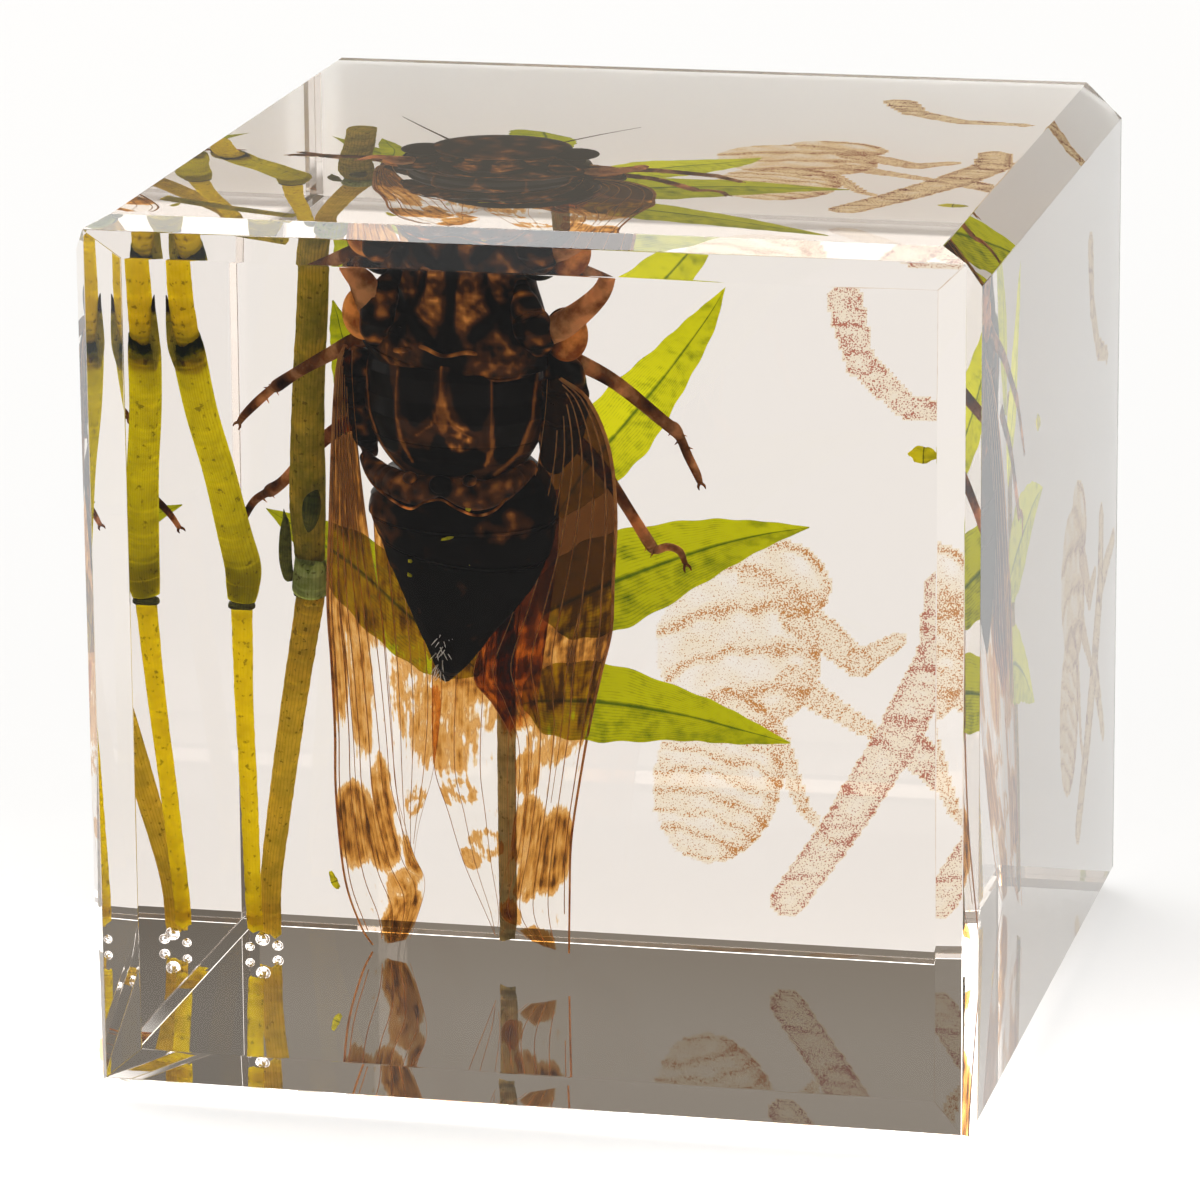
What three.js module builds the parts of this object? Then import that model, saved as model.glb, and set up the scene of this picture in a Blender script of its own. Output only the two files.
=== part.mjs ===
// Cast block of clear resin, the body in which a mounted insect is sealed.
// Millimetres, +Z up. The origin is the centre of the footprint, on the surface
// that the block rests on; the front face looks along -Y.
import * as THREE from 'three';
import { ConvexGeometry } from 'three/addons/geometries/ConvexGeometry.js';
import { mergeVertices } from 'three/addons/utils/BufferGeometryUtils.js';

// Outer size of the block.
const blockWidth = 45;
const blockDepth = 47;
const blockHeight = 44.8;

// How far the polished facets along each edge cut back from the edge. The facets
// around the front face are the widest.
const frontFacets = { left: 2.95, right: 1.75, top: 1.7, bottom: 2.65 };
const backFacets = { left: 0.5, right: 1.2, top: 1.3, bottom: 0.35 };
const leftFacets = { top: 1.8, bottom: 0.45 };
const rightFacets = { top: 1.9, bottom: 1.0 };

// Where the ridge between two facets of one edge lies, as a share of the cut.
const ridgeShare = 1 - Math.SQRT1_2;

const halfSize = [blockWidth / 2, blockDepth / 2, blockHeight / 2];

// Cut of the edge that runs along an axis, on the side given by three signs.
// The sign of the edge's own axis plays no part.
function edgeCut(axis, side) {
  const upright = side[2] > 0 ? 'top' : 'bottom';
  const sideways = side[0] > 0 ? 'right' : 'left';
  if (axis === 1) {
    return side[0] > 0 ? rightFacets[upright] : leftFacets[upright];
  }
  const facets = side[1] < 0 ? frontFacets : backFacets;
  return axis === 0 ? facets[upright] : facets[sideways];
}

// The corner of one flat face: it lies on the face, drawn back from the block's
// corner by the cuts of the two edges that the face has there.
function faceCorner(faceAxis, side) {
  const a = (faceAxis + 1) % 3;
  const b = (faceAxis + 2) % 3;
  const place = [0, 0, 0];
  place[faceAxis] = side[faceAxis] * halfSize[faceAxis];
  place[a] = side[a] * (halfSize[a] - edgeCut(b, side));
  place[b] = side[b] * (halfSize[b] - edgeCut(a, side));
  return new THREE.Vector3(...place);
}

// The edges around the front face have two facets with a ridge between them; every
// other edge has one.
function hasRidge(axis, side) {
  return axis !== 1 && side[1] < 0;
}

// The end of the ridge along one edge, drawn back from the block's corner by the
// mean cut of the other two edges there.
function ridgeEnd(axis, side) {
  const a = (axis + 1) % 3;
  const b = (axis + 2) % 3;
  const inset = ridgeShare * edgeCut(axis, side);
  const place = [0, 0, 0];
  place[axis] = side[axis] * (halfSize[axis] - (edgeCut(a, side) + edgeCut(b, side)) / 2);
  place[a] = side[a] * (halfSize[a] - inset);
  place[b] = side[b] * (halfSize[b] - inset);
  return new THREE.Vector3(...place);
}

// The block is the convex body around the corners of its six flat faces and the
// ends of its ridges, which leaves the facets along its edges and corners.
function makeBlockGeometry() {
  const corners = [];
  for (const x of [-1, 1]) {
    for (const y of [-1, 1]) {
      for (const z of [-1, 1]) {
        for (const axis of [0, 1, 2]) {
          corners.push(faceCorner(axis, [x, y, z]));
          if (hasRidge(axis, [x, y, z])) {
            corners.push(ridgeEnd(axis, [x, y, z]));
          }
        }
      }
    }
  }
  const geometry = new ConvexGeometry(corners);
  geometry.deleteAttribute('normal');
  const merged = mergeVertices(geometry, 1e-4);
  merged.computeVertexNormals();
  return merged;
}

// Water-clear cast resin with a faint warm tint, polished on every face.
const clearResin = new THREE.MeshStandardMaterial({
  color: 0xece6de,
  roughness: 0.04,
  metalness: 0,
  transparent: true,
  opacity: 0.35,
});

const resinBlock = new THREE.Mesh(makeBlockGeometry(), clearResin);
resinBlock.name = 'resin_block';
resinBlock.position.set(0, 0, blockHeight / 2);

const insectBlock = new THREE.Group();
insectBlock.add(resinBlock);

export default insectBlock;
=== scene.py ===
import math
import random

import bmesh
import bpy
from mathutils import Matrix, Quaternion, Vector, noise


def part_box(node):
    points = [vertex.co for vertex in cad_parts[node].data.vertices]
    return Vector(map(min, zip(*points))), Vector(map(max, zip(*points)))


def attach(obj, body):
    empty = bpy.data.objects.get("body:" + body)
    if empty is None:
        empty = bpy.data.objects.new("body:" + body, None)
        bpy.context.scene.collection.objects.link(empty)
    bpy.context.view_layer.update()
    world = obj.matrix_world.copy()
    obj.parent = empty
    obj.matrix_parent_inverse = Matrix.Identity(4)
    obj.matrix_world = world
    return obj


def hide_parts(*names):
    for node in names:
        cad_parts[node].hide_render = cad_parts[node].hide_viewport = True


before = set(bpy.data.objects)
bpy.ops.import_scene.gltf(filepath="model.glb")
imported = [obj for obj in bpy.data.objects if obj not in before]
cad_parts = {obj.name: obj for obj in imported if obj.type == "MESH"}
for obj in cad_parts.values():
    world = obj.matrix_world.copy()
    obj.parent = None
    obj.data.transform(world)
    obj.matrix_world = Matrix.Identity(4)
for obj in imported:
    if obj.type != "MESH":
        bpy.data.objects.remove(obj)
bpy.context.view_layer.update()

MM = 0.001


# ------------------------------------------------------------------ camera
# The viewpoint: a long lens a third of a metre from the block, a little to its
# right and a little above it.
view_azimuth = math.radians(13.09)
view_height = math.radians(14.80)
view_roll = math.radians(-0.49)
view_distance = 353.3 * MM
aim_point = Vector((-1.09, -0.65, 20.93)) * MM
lens_length, sensor_width = 203.9, 36

toward_camera = Vector((
    math.sin(view_azimuth) * math.cos(view_height),
    -math.cos(view_azimuth) * math.cos(view_height),
    math.sin(view_height),
))
camera_data = bpy.data.cameras.new("camera")
camera_data.lens = lens_length
camera_data.sensor_width = sensor_width
camera_data.clip_start = 0.01
camera_data.clip_end = 50
camera = bpy.data.objects.new("camera", camera_data)
camera.location = aim_point + toward_camera * view_distance
camera.rotation_mode = "QUATERNION"
camera.rotation_quaternion = toward_camera.to_track_quat("Z", "Y") @ Quaternion((0, 0, 1), view_roll)
bpy.context.collection.objects.link(camera)
bpy.context.scene.camera = camera


# ------------------------------------------------------------------- stage
# A wide pale table that glows a little, as a light table does, under a soft
# studio sky: pale overhead, grey near the horizon and bright beside the block.
floor_radius = 8
floor_drop = 0.3 * MM
floor_glow = 0.36
glow_in_front = 0.74
glow_under_block = 1.5
glow_on_patch = 0.05
glow_tint = (1.0, 0.995, 0.985, 1)
floor_paint = (0.34, 0.34, 0.34, 1)
patch_paint = (0.10, 0.10, 0.10, 1)
# Each pair gives where a change begins and ends: in metres on the floor, and as
# a part of the view direction in the sky.
lit_square = (0.0208, 0.0220)
front_to_back = (-0.03, 0.03)
patch_middle = (-0.012, -0.136, 0)
patch_sides = (0.060, 0.080)
patch_ends = (0.080, 0.099)
sky_front_to_back = (-0.1, 0.35)
sky_left_to_right = (-0.1, 0.2)
side_light_edge = (0.46, 0.54)
side_light_foot = (0.0, 0.02)
side_light_head = (0.80, 0.86)
right_sky_share = 0.66
back_side_light = (4.60, 4.55, 4.48, 1)
sky_white = (1.0, 1.0, 1.0, 1)
sky_grey = (0.27, 0.243, 0.205, 1)
# Place, 0 straight down to 1 straight up, and colour.
front_sky_steps = (
    (0.0, sky_white), (0.499, sky_white), (0.505, sky_grey), (0.66, sky_grey),
    (0.76, (0.90, 0.89, 0.87, 1)), (0.935, sky_white), (0.955, sky_grey),
)
back_sky_steps = (
    (0.0, sky_white), (0.499, sky_white), (0.505, (0.32, 0.28, 0.22, 1)), (0.56, (0.25, 0.225, 0.19, 1)),
    (0.67, (0.25, 0.225, 0.19, 1)), (0.72, back_side_light), (0.935, (4.70, 4.70, 4.70, 1)),
    (0.955, sky_grey),
)


def add_node(tree, kind, inputs=None, **settings):
    """A new node with its settings; an input takes a value or another node's socket."""
    node = tree.nodes.new(kind)
    for name, value in settings.items():
        setattr(node, name, value)
    for name, value in (inputs or {}).items():
        if isinstance(value, bpy.types.NodeSocket):
            tree.links.new(value, node.inputs[name])
        else:
            node.inputs[name].default_value = value
    return node


def maths(tree, operation, *values):
    """The result of a sum on numbers or sockets."""
    return add_node(tree, "ShaderNodeMath", dict(enumerate(values)), operation=operation).outputs["Value"]


def vector_maths(tree, operation, *values):
    """The result of a sum on vectors or sockets."""
    node = add_node(tree, "ShaderNodeVectorMath", dict(enumerate(values)), operation=operation)
    return node.outputs["Vector"]


def remap(tree, value, start, end=(0.0, 1.0), curve="LINEAR"):
    """A value moved from one range to another and held at its ends."""
    node = add_node(tree, "ShaderNodeMapRange", {
        "Value": value, "From Min": start[0], "From Max": start[1], "To Min": end[0], "To Max": end[1],
    }, interpolation_type=curve)
    return node.outputs["Result"]


def mix_colour(tree, share, first, second):
    """A colour between two others."""
    return add_node(tree, "ShaderNodeMix", {"Factor": share, 6: first, 7: second}, data_type="RGBA").outputs[2]


def ramp_colour(tree, value, steps):
    """The colour that a ramp gives a value; steps are pairs of place and colour."""
    node = add_node(tree, "ShaderNodeValToRGB", {"Fac": value})
    elements = node.color_ramp.elements
    while len(elements) < len(steps):
        elements.new(0.5)
    for element, (place, colour) in zip(elements, steps):
        element.position = place
        element.color = colour
    return node.outputs["Color"]


def clouds(tree, place, scale, detail, roughness=0.5):
    """Cloudy noise around a half."""
    return add_node(tree, "ShaderNodeTexNoise", {
        "Vector": place, "Scale": scale, "Detail": detail, "Roughness": roughness}).outputs["Fac"]


def object_place(tree):
    """The place on the object, in metres."""
    return add_node(tree, "ShaderNodeTexCoord").outputs["Object"]


def uv_place(tree):
    """The place on the piece's own UV map."""
    return add_node(tree, "ShaderNodeUVMap", uv_map="UVMap").outputs["UV"]


def attribute(tree, name):
    """A value stored on the mesh."""
    return add_node(tree, "ShaderNodeAttribute", attribute_name=name).outputs["Fac"]


def split(tree, vector):
    """The X, Y and Z of a vector."""
    return tuple(add_node(tree, "ShaderNodeSeparateXYZ", {"Vector": vector}).outputs)


def mix_shader(tree, share, first, second):
    """A shader between two others."""
    return add_node(tree, "ShaderNodeMixShader", {0: share, 1: first, 2: second}).outputs["Shader"]


def new_material(name):
    """An empty node material, its tree and its output node."""
    material = bpy.data.materials.new(name)
    material.use_nodes = True
    material.node_tree.nodes.clear()
    return material, material.node_tree, material.node_tree.nodes.new("ShaderNodeOutputMaterial")


world = bpy.data.worlds.new("studio sky")
world.use_nodes = True
bpy.context.scene.world = world
sky = world.node_tree
sky.nodes.clear()
sky_x, sky_y, sky_z = split(sky, add_node(sky, "ShaderNodeTexCoord").outputs["Generated"])
sky_height = remap(sky, sky_z, (-1, 1))
front_sky = ramp_colour(sky, sky_height, front_sky_steps)
back_sky = ramp_colour(sky, sky_height, back_sky_steps)
lit_height = maths(sky, "MULTIPLY", remap(sky, sky_z, side_light_foot),
                   remap(sky, sky_z, side_light_head, (1.0, 0.0)))
lit_share = maths(sky, "MULTIPLY", lit_height, remap(sky, maths(sky, "ABSOLUTE", sky_x), side_light_edge))
lit_back_sky = mix_colour(sky, lit_share, back_sky, back_side_light)
sky_colour = mix_colour(sky, remap(sky, sky_y, sky_front_to_back, curve="SMOOTHSTEP"), front_sky, lit_back_sky)
sky_light = add_node(sky, "ShaderNodeBackground", {
    "Color": sky_colour, "Strength": remap(sky, sky_x, sky_left_to_right, (1.0, right_sky_share))})
add_node(sky, "ShaderNodeOutputWorld", {"Surface": sky_light.outputs["Background"]})

floor_mesh = bmesh.new()
bmesh.ops.create_circle(floor_mesh, cap_ends=True, segments=96, radius=floor_radius)
bmesh.ops.translate(floor_mesh, vec=(0, 0, -floor_drop), verts=floor_mesh.verts)
floor_data = bpy.data.meshes.new("floor")
floor_mesh.to_mesh(floor_data)
floor = bpy.data.objects.new("floor", floor_data)
bpy.context.collection.objects.link(floor)
floor_material, floor_tree, floor_output = new_material("pale table")
floor_place = object_place(floor_tree)
floor_y = split(floor_tree, floor_place)[1]
side_x, side_y, _ = split(floor_tree, vector_maths(floor_tree, "ABSOLUTE", floor_place))
near_glow = remap(floor_tree, maths(floor_tree, "MAXIMUM", side_x, side_y), lit_square,
                  (glow_under_block, 0.0), "SMOOTHSTEP")
# The patch in front of the block is dark only as seen through the resin.
from_patch = vector_maths(floor_tree, "SUBTRACT", floor_place, patch_middle)
patch_x, patch_y, _ = split(floor_tree, vector_maths(floor_tree, "ABSOLUTE", from_patch))
beside_patch = maths(floor_tree, "MAXIMUM", remap(floor_tree, patch_x, patch_sides, curve="SMOOTHSTEP"),
                     remap(floor_tree, patch_y, patch_ends, curve="SMOOTHSTEP"))
seen_directly = add_node(floor_tree, "ShaderNodeLightPath").outputs["Is Camera Ray"]
off_patch = maths(floor_tree, "MAXIMUM", beside_patch, seen_directly)
front_glow = remap(floor_tree, off_patch, (0.0, 1.0), (glow_on_patch, glow_in_front))
back_glow = remap(floor_tree, floor_y, front_to_back, (glow_in_front, floor_glow), "SMOOTHSTEP")
open_glow = maths(floor_tree, "MINIMUM", front_glow, back_glow)
floor_shader = add_node(floor_tree, "ShaderNodeBsdfPrincipled", {
    "Base Color": mix_colour(floor_tree, off_patch, patch_paint, floor_paint),
    "Roughness": 0.9,
    "Emission Color": glow_tint,
    "Emission Strength": maths(floor_tree, "MAXIMUM", open_glow, near_glow),
})
floor_tree.links.new(floor_shader.outputs["BSDF"], floor_output.inputs["Surface"])
floor_data.materials.append(floor_material)

scene = bpy.context.scene
scene.view_settings.view_transform = "Standard"
scene.view_settings.look = "None"
scene.cycles.max_bounces = 32
scene.cycles.diffuse_bounces = 6
scene.cycles.glossy_bounces = 16
scene.cycles.transmission_bounces = 32
scene.cycles.transparent_max_bounces = 48
scene.cycles.caustics_reflective = True
scene.cycles.caustics_refractive = True
scene.cycles.blur_glossy = 0.0
scene.cycles.sample_clamp_indirect = 8
scene.cycles.use_denoising = True


# ------------------------------------------------------------- resin block
# The casting: water-clear resin, cast around the specimens in a square mould,
# then sanded and polished. Flat facets are cut along its edges: two, with a
# ridge between them, around the front face and one along every other edge.
front_facets = {"left": 2.95, "right": 1.75, "top": 1.7, "bottom": 2.65}
back_facets = {"left": 0.5, "right": 1.2, "top": 1.3, "bottom": 0.35}
left_facets = {"top": 1.8, "bottom": 0.45}
right_facets = {"top": 1.9, "bottom": 1.0}
widest_facet = front_facets["left"]
facet_rounding = 0.05
sharpest_edge = math.radians(15)
resin_ior = 1.48
# Sealed surfaces and air bubbles bend light as measured against the resin.
sealed_ior = 1.08
air_in_resin_ior = 0.676
resin_absorption = (0.826, 0.698, 0.587, 1)
resin_absorption_density = 10


def finish_piece(name, bm, material, recalc=True):
    """Turn a bmesh, drawn in millimetres, into a named piece that rides with the block."""
    if recalc:
        bmesh.ops.recalc_face_normals(bm, faces=bm.faces)
    bmesh.ops.scale(bm, vec=(MM, MM, MM), verts=bm.verts)
    data = bpy.data.meshes.new(name)
    bm.to_mesh(data)
    bm.free()
    data.materials.append(material)
    data.polygons.foreach_set("use_smooth", [True] * len(data.polygons))
    piece = bpy.data.objects.new(name, data)
    bpy.context.collection.objects.link(piece)
    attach(piece, "root")
    return piece


block_low, block_high = (Vector(corner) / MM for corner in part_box("resin_block"))
block_size = block_high - block_low
block_centre = (block_high + block_low) / 2


def facet_width(edge):
    """How far the polished facet cuts back from this edge, by the place of its middle."""
    middle = (edge.verts[0].co + edge.verts[1].co) / 2 - block_centre
    upright = "top" if middle.z > 0 else "bottom"
    sideways = "right" if middle.x > 0 else "left"
    if abs(middle.y) < 1:
        return (right_facets if middle.x > 0 else left_facets)[upright]
    facets = front_facets if middle.y < 0 else back_facets
    return facets[upright if abs(middle.x) < 1 else sideways]


block = bmesh.new()
bmesh.ops.create_cube(block, size=1)
bmesh.ops.scale(block, vec=block_size, verts=block.verts)
bmesh.ops.translate(block, vec=block_centre, verts=block.verts)
front_weight = block.edges.layers.float.new("front_facets")
other_weight = block.edges.layers.float.new("other_facets")
for edge in block.edges:
    is_front = all(vert.co.y < block_centre.y for vert in edge.verts)
    edge[front_weight if is_front else other_weight] = facet_width(edge) / widest_facet
resin_material, resin_tree, resin_output = new_material("clear resin")
resin_shader = add_node(resin_tree, "ShaderNodeBsdfPrincipled", {
    "Base Color": (1, 1, 1, 1), "Roughness": 0.0, "IOR": resin_ior, "Transmission Weight": 1.0})
resin_volume = add_node(resin_tree, "ShaderNodeVolumeAbsorption", {
    "Color": resin_absorption, "Density": resin_absorption_density})
resin_tree.links.new(resin_shader.outputs["BSDF"], resin_output.inputs["Surface"])
resin_tree.links.new(resin_volume.outputs["Volume"], resin_output.inputs["Volume"])
resin_block = finish_piece("block_of_resin", block, resin_material)
for weight_name, facet_count in (("front_facets", 2), ("other_facets", 1)):
    facets = resin_block.modifiers.new(weight_name.replace("_", " "), "BEVEL")
    facets.limit_method = "WEIGHT"
    facets.edge_weight = weight_name
    facets.width = widest_facet * MM
    facets.segments = facet_count
    facets.profile = 0.5
rounding = resin_block.modifiers.new("softened edges", "BEVEL")
rounding.limit_method = "ANGLE"
rounding.angle_limit = sharpest_edge
rounding.width = facet_rounding * MM
rounding.segments = 2
rounding.profile = 0.5
rounding.harden_normals = True
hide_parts("resin_block")


# ------------------------------------------------------------ backing film
# A clear film sealed just in front of the back face, printed in fine brown and
# rose dots with the empty shell of a cicada nymph that grips a forked twig. Seen
# at a slant the film is hazy, so it hides what would be mirrored behind it, and
# its haze carries painted shade, darker where the view runs from side to side.
film_depth = 22.6
film_low, film_high = Vector((-22.0, film_depth, 0.6)), Vector((21.8, film_depth, 43.4))
film_step = 0.2
ink_strength = 0.76
clear_tint, cream_tint = (0.992, 0.992, 0.988, 1), (0.97, 0.90, 0.75, 1)
brown_ink, rose_ink = (0.60, 0.27, 0.07, 1), (0.52, 0.20, 0.14, 1)
# How dark the haze becomes where the view runs from side to side: painted shade.
painted_shade_from_the_side = 0.48
haze_steps = (
    # how far the film is turned away, 0 square on to 1 edge on, and its haze
    (0.17, (0, 0, 0, 1)),
    (0.33, (0.9, 0.9, 0.9, 1)),
    (0.60, (0.9, 0.9, 0.9, 1)),
    (0.76, (0, 0, 0, 1)),
)
shell_ovals = (
    # x, z, half width, half height, tilt in degrees, ring spacing
    (3.6, 9.6, 3.3, 4.7, -14, 1.15),
    (4.7, 16.6, 4.3, 4.3, 12, 2.3),
    (7.0, 20.6, 2.6, 2.0, -20, 1.7),
)
shell_limbs = (
    # x, z, half width at the start, then at the end
    ((8.0, 18.6, 1.0), (11.2, 16.2, 0.7)),
    ((11.2, 16.2, 0.7), (13.4, 17.6, 0.35)),
    ((7.6, 15.0, 0.8), (10.6, 13.2, 0.5)),
    ((10.6, 13.2, 0.5), (12.4, 12.2, 0.3)),
    ((6.6, 12.4, 0.6), (8.2, 8.2, 0.3)),
    ((8.2, 8.2, 0.3), (9.6, 6.4, 0.2)),
)
twig_limbs = (
    ((7.4, 2.9, 0.85), (10.2, 7.0, 0.95)),
    ((10.2, 7.0, 0.95), (13.4, 12.4, 1.1)),
    ((13.4, 12.4, 1.1), (15.4, 16.8, 1.0)),
    ((13.4, 12.4, 1.0), (17.2, 8.6, 0.5)),
    ((15.4, 16.8, 1.0), (15.6, 20.6, 0.8)),
    ((15.4, 16.8, 0.8), (20.6, 19.6, 0.45)),
    ((10.4, 35.6, 0.9), (11.2, 32.4, 0.7)),
    ((11.2, 32.4, 0.7), (13.6, 30.2, 0.6)),
    ((13.6, 30.2, 0.6), (17.2, 29.8, 0.4)),
)


def clamp(value):
    """The value, held between 0 and 1."""
    return max(0.0, min(1.0, value))


def limb_reach(x, z, limb):
    """How far a point lies outside a tapering limb, as a share of the limb's half width."""
    (x1, z1, w1), (x2, z2, w2) = limb
    length_squared = (x2 - x1) ** 2 + (z2 - z1) ** 2
    share = clamp(((x - x1) * (x2 - x1) + (z - z1) * (z2 - z1)) / length_squared)
    middle_x, middle_z = x1 + share * (x2 - x1), z1 + share * (z2 - z1)
    return math.hypot(x - middle_x, z - middle_z) / (w1 + share * (w2 - w1))


def shell_ink(x, z):
    """Ink of the nymph shell: pale hollows, darker rims, and rings round each part."""
    ink = 0.0
    wander = 0.5 * noise.noise(Vector((x * 0.8, z * 0.8, 3.0)))
    for cx, cz, half_x, half_z, tilt, spacing in shell_ovals:
        turn = math.radians(tilt)
        across = (x - cx) * math.cos(turn) + (z - cz) * math.sin(turn)
        up = (z - cz) * math.cos(turn) - (x - cx) * math.sin(turn)
        reach = math.hypot(across / half_x, up / half_z)
        if reach > 1.04:
            continue
        rings = max(0.0, math.cos((up + 0.05 * across ** 2 + wander) * math.tau / spacing)) ** 3
        rim = max(0.0, (reach - 0.8) / 0.2)
        ink = max(ink, 0.20 + 0.62 * rings + 0.45 * rim * (x > cx) + 0.25 * wander)
    for limb in shell_limbs:
        reach = limb_reach(x, z, limb)
        if reach < 1.05:
            ink = max(ink, 0.40 + 0.80 * max(0.0, reach - 0.5) + 0.3 * wander)
    return ink


def twig_ink(x, z):
    """Ink of the twig: rose bark, darker down one side, with ragged cross marks."""
    ink = 0.0
    for limb in twig_limbs:
        reach = limb_reach(x, z, limb)
        if reach < 1.05:
            marks = max(0.0, noise.noise(Vector((x * 0.7, z * 2.6, 8.0))))
            ink = max(ink, 0.22 + 0.55 * reach ** 3 + 1.1 * marks)
    return ink


film = bmesh.new()
ink_layer = film.verts.layers.float.new("ink")
rose_layer = film.verts.layers.float.new("rose")
film_size = film_high - film_low
film_grid = bmesh.ops.create_grid(film, x_segments=round(film_size.x / film_step),
                                  y_segments=round(film_size.z / film_step), size=0.5)["verts"]
for vert in film_grid:
    x = film_low.x + (vert.co.x + 0.5) * film_size.x
    z = film_low.z + (vert.co.y + 0.5) * film_size.z
    vert.co = (x, film_depth, z)
    on_shell, on_twig = shell_ink(x, z), twig_ink(x, z)
    vert[ink_layer] = ink_strength * max(on_shell, on_twig)
    vert[rose_layer] = 1.0 if on_twig > on_shell else 0.0
film_material, film_tree, film_output = new_material("printed film")
film_ink = attribute(film_tree, "ink")
dot_level = remap(film_tree, clouds(film_tree, object_place(film_tree), 12000.0, 1.0), (0.33, 0.67))
dot_mask = remap(film_tree, maths(film_tree, "SUBTRACT", film_ink, dot_level), (0.0, 0.2))
cream = mix_colour(film_tree, remap(film_tree, film_ink, (0.05, 0.2)), clear_tint, cream_tint)
ink_colour = mix_colour(film_tree, attribute(film_tree, "rose"), brown_ink, rose_ink)
print_tint = mix_colour(film_tree, dot_mask, cream, ink_colour)
film_clear = add_node(film_tree, "ShaderNodeBsdfTransparent", {"Color": print_tint})
# Painted shade: the haze is darkened where the view runs along X, as through the side faces, and not seen
# square on from the top.
side_shade_axis = add_node(film_tree, "ShaderNodeCombineXYZ", {"X": 1.0})
side_turn = add_node(film_tree, "ShaderNodeLayerWeight", {"Blend": 0.5, "Normal": side_shade_axis.outputs["Vector"]})
painted_side_shade = remap(film_tree, side_turn.outputs["Facing"], (0.3, 0.7), (painted_shade_from_the_side, 1.0))
haze_tint = vector_maths(film_tree, "MULTIPLY", print_tint, print_tint)
haze_tint = vector_maths(film_tree, "MULTIPLY", haze_tint, print_tint)
haze_tint = vector_maths(film_tree, "MULTIPLY", haze_tint, painted_side_shade)
film_hazy = add_node(film_tree, "ShaderNodeBsdfTranslucent", {"Color": haze_tint})
film_turn = add_node(film_tree, "ShaderNodeLayerWeight", {"Blend": 0.5})
film_haze = ramp_colour(film_tree, film_turn.outputs["Facing"], haze_steps)
film_shader = mix_shader(film_tree, film_haze, film_clear.outputs["BSDF"], film_hazy.outputs["BSDF"])
film_tree.links.new(film_shader, film_output.inputs["Surface"])
finish_piece("backing_film", film, film_material, recalc=False)


# ------------------------------------------------------------ bamboo stems
# Three cut culms of a thin bamboo stand at the left and behind the wings: round
# yellow and olive tubes with dark node rings, torn dried sheaths and cut ends.
speck_colour = (0.10, 0.085, 0.01, 1)
stem_paths = {
    # middle line and radius, from the top down
    "stem_left_upper": ((-21.4, 0.2, 42.0, 0.60), (-21.4, 1.4, 37.5, 0.66), (-21.3, 2.6, 34.9, 0.70),
        (-21.2, 3.1, 33.8, 0.70)),
    "stem_left_lower": ((-19.9, 8.8, 20.0, 0.58), (-20.1, 10.0, 14.8, 0.50), (-20.3, 12.0, 9.0, 0.47),
        (-20.5, 13.8, 3.1, 0.44), (-20.5, 14.2, 1.4, 0.44)),
    "stem_middle_upper": ((-14.6, 3.6, 43.2, 0.80), (-15.0, 4.5, 37.3, 0.82), (-15.6, 6.0, 31.8, 0.86),
        (-16.0, 7.5, 26.2, 0.96), (-16.1, 8.5, 22.8, 0.78), (-16.2, 8.9, 21.2, 0.76)),
    "stem_middle_lower": ((-16.2, 9.0, 20.8, 0.76), (-16.8, 10.0, 18.2, 0.72), (-17.6, 11.3, 14.7, 0.68),
        (-18.8, 13.2, 8.8, 0.64), (-19.7, 14.8, 4.0, 0.60), (-19.9, 15.4, 0.9, 0.60)),
    "stem_behind_wings": ((-6.2, 11.6, 30.0, 0.46), (-6.3, 12.2, 22.7, 0.48), (-6.4, 13.0, 18.2, 0.50),
        (-6.7, 14.8, 9.2, 0.50), (-6.8, 15.5, 3.0, 0.48), (-6.9, 15.8, 1.4, 0.42)),
    "stem_offcut": ((-19.6, -15.6, 43.1, 0.42), (-16.5, -17.0, 43.0, 0.40), (-12.2, -18.6, 42.9, 0.34)),
}
sheath_paths = {
    # middle line and radius, from the torn end down, then how flat it is
    "sheath_left": (((-21.35, 2.4, 35.4, 0.78), (-21.3, 2.9, 34.3, 0.88), (-21.0, 4.3, 31.2, 0.86),
        (-20.45, 6.0, 27.8, 0.86), (-20.0, 7.6, 24.3, 0.92), (-19.75, 8.5, 22.4, 0.98),
        (-19.8, 8.7, 21.3, 0.90), (-19.9, 8.8, 20.5, 0.76)), 1.0),
    "sheath_left_tongue": (((-22.05, 1.4, 37.2, 0.16), (-22.05, 1.7, 36.0, 0.24), (-21.95, 2.1, 34.8, 0.34),
        (-21.75, 2.6, 33.6, 0.26)), 0.35),
    "sheath_middle_flap": (((-17.0, 6.5, 25.6, 0.10), (-17.15, 7.1, 24.4, 0.32), (-17.3, 7.8, 23.0, 0.36),
        (-17.25, 8.2, 22.0, 0.30), (-17.2, 8.3, 21.7, 0.16)), 0.4),
    "sheath_middle_collar": (((-15.95, 7.8, 23.0, 0.84), (-16.05, 8.2, 22.0, 0.93),
        (-16.15, 8.6, 21.3, 0.96)), 1.0),
}


def smooth_path(points, steps):
    """Points along one smooth curve through the given ones, steps to each stretch."""
    points = [Vector(p) for p in points]
    points = [2 * points[0] - points[1]] + points + [2 * points[-1] - points[-2]]
    path = []
    for a, b, c, d in zip(points, points[1:], points[2:], points[3:]):
        for step in range(steps):
            t = step / steps
            path.append(0.5 * (2 * b + (c - a) * t + (2 * a - 5 * b + 4 * c - d) * t * t
                               + (3 * b - a - 3 * c + d) * t * t * t))
    path.append(points[-2])
    return path


def ring_place(path, index, squash):
    """The place, turn and size of the ring at one point of a path."""
    here = path[index]
    ahead = path[min(index + 1, len(path) - 1)].xyz
    behind = path[max(index - 1, 0)].xyz
    forward = (ahead - behind).normalized()
    side = forward.cross(Vector((0.1, 1.0, 0.2))).normalized()
    up = side.cross(forward)
    turn = Matrix((side, up, forward)).transposed().to_4x4()
    return Matrix.Translation(here.xyz) @ turn @ Matrix.Diagonal((here.w, here.w * squash, here.w, 1))


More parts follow.
